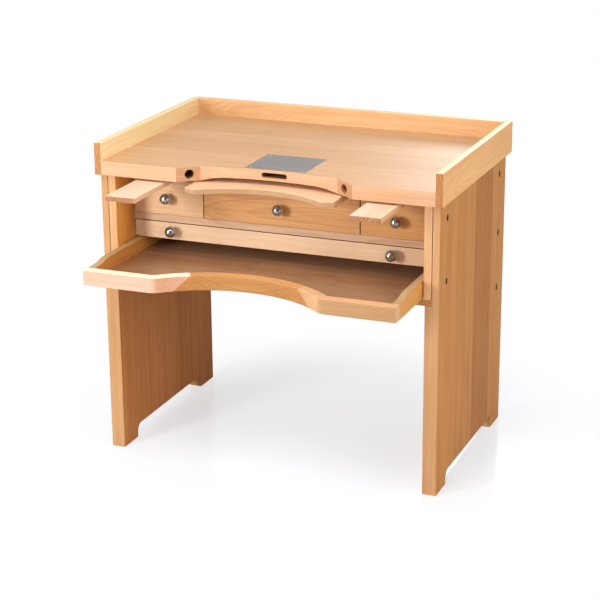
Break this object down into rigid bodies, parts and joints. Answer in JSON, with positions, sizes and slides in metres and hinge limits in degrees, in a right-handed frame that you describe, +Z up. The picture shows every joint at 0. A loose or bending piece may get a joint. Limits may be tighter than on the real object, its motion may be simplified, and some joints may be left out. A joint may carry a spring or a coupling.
{
  "type": "jewelers bench",
  "caption": "Wooden goldsmith's bench with a curved cut-out, steel plate, pin slot, ball-knobbed drawers, pull-out arm rests, belly board and a sliding catch tray.",
  "frame": {"origin": "on the floor under the middle of the bench with its catch tray drawn out", "axes": "+X to the right along the bench seen from the front, +Y to the back, +Z up"},
  "size_m": [1, 0.844, 0.9],
  "materials": {
    "beech": "oiled beech, planed smooth",
    "leg_wood": "oiled beech, glued from staves",
    "drawer_wood": "oiled beech, figured along the front",
    "tray_wood": "oiled beech with softened edges",
    "panel_wood": "beech-faced plywood",
    "plate_steel": "satin ground steel",
    "knob_steel": "polished steel",
    "zinc_steel": "zinc-plated steel"
  },
  "bodies": {
    "bench": {"worktop": "beech", "rim_left": "beech", "rim_right": "beech", "rim_back": "beech", "steel_plate": "plate_steel", "plate_screws": "zinc_steel", "top_screws": "zinc_steel", "leg_panel_left": "leg_wood", "leg_panel_right": "leg_wood", "back_rail": "beech", "panel_bolts": "zinc_steel", "insert_nuts": "zinc_steel", "barrel_nuts": "zinc_steel", "case_side_left": "beech", "case_side_right": "beech", "case_back": "panel_wood", "tray_runner_left": "tray_wood", "tray_runner_right": "tray_wood", "drawer_shelf": "beech", "divider_left": "beech", "divider_right": "beech", "slide_shelf": "beech", "outer_guides": "beech", "inner_guides": "beech", "drawer_battens": "beech"},
    "arm_rest_left": {"arm_rest_left": "beech"},
    "arm_rest_right": {"arm_rest_right": "beech"},
    "belly_board": {"belly_board": "beech"},
    "catch_tray": {"tray_front_left": "tray_wood", "tray_front_middle": "tray_wood", "tray_front_right": "tray_wood", "tray_sides": "tray_wood", "tray_back": "tray_wood", "tray_floor": "panel_wood"},
    "left_drawer": {"left_drawer_front": "drawer_wood", "left_drawer_sides": "drawer_wood", "left_drawer_back": "drawer_wood", "left_drawer_bottom": "panel_wood", "left_drawer_knob": "knob_steel", "left_drawer_knob_screw": "zinc_steel"},
    "centre_drawer": {"centre_drawer_front": "drawer_wood", "centre_drawer_sides": "drawer_wood", "centre_drawer_back": "drawer_wood", "centre_drawer_bottom": "panel_wood", "centre_drawer_knob": "knob_steel", "centre_drawer_knob_screw": "zinc_steel"},
    "right_drawer": {"right_drawer_front": "drawer_wood", "right_drawer_sides": "drawer_wood", "right_drawer_back": "drawer_wood", "right_drawer_bottom": "panel_wood", "right_drawer_knob": "knob_steel", "right_drawer_knob_screw": "zinc_steel"},
    "wide_drawer": {"wide_drawer_front": "drawer_wood", "wide_drawer_sides": "drawer_wood", "wide_drawer_back": "drawer_wood", "wide_drawer_bottom": "panel_wood", "wide_drawer_knobs": "knob_steel", "wide_drawer_knob_screws": "zinc_steel"}
  },
  "joints": [
    {"name": "left_drawer_slide", "type": "slide", "parent": "bench", "child": "left_drawer", "axis": [0, -1, 0], "range_m": [0, 0.28]},
    {"name": "centre_drawer_slide", "type": "slide", "parent": "bench", "child": "centre_drawer", "axis": [0, -1, 0], "range_m": [0, 0.28]},
    {"name": "right_drawer_slide", "type": "slide", "parent": "bench", "child": "right_drawer", "axis": [0, -1, 0], "range_m": [0, 0.28]},
    {"name": "wide_drawer_slide", "type": "slide", "parent": "bench", "child": "wide_drawer", "axis": [0, -1, 0], "range_m": [0, 0.28]},
    {"name": "catch_tray_slide", "type": "slide", "parent": "bench", "child": "catch_tray", "axis": [0, -1, 0], "range_m": [-0.209, 0.14]},
    {"name": "arm_rest_left_slide", "type": "slide", "parent": "bench", "child": "arm_rest_left", "axis": [0, -1, 0], "range_m": [-0.172, 0.1]},
    {"name": "arm_rest_right_slide", "type": "slide", "parent": "bench", "child": "arm_rest_right", "axis": [0, -1, 0], "range_m": [-0.125, 0.147]},
    {"name": "belly_board_slide", "type": "slide", "parent": "bench", "child": "belly_board", "axis": [0, -1, 0], "range_m": [-0.067, 0.06]}
  ]
}
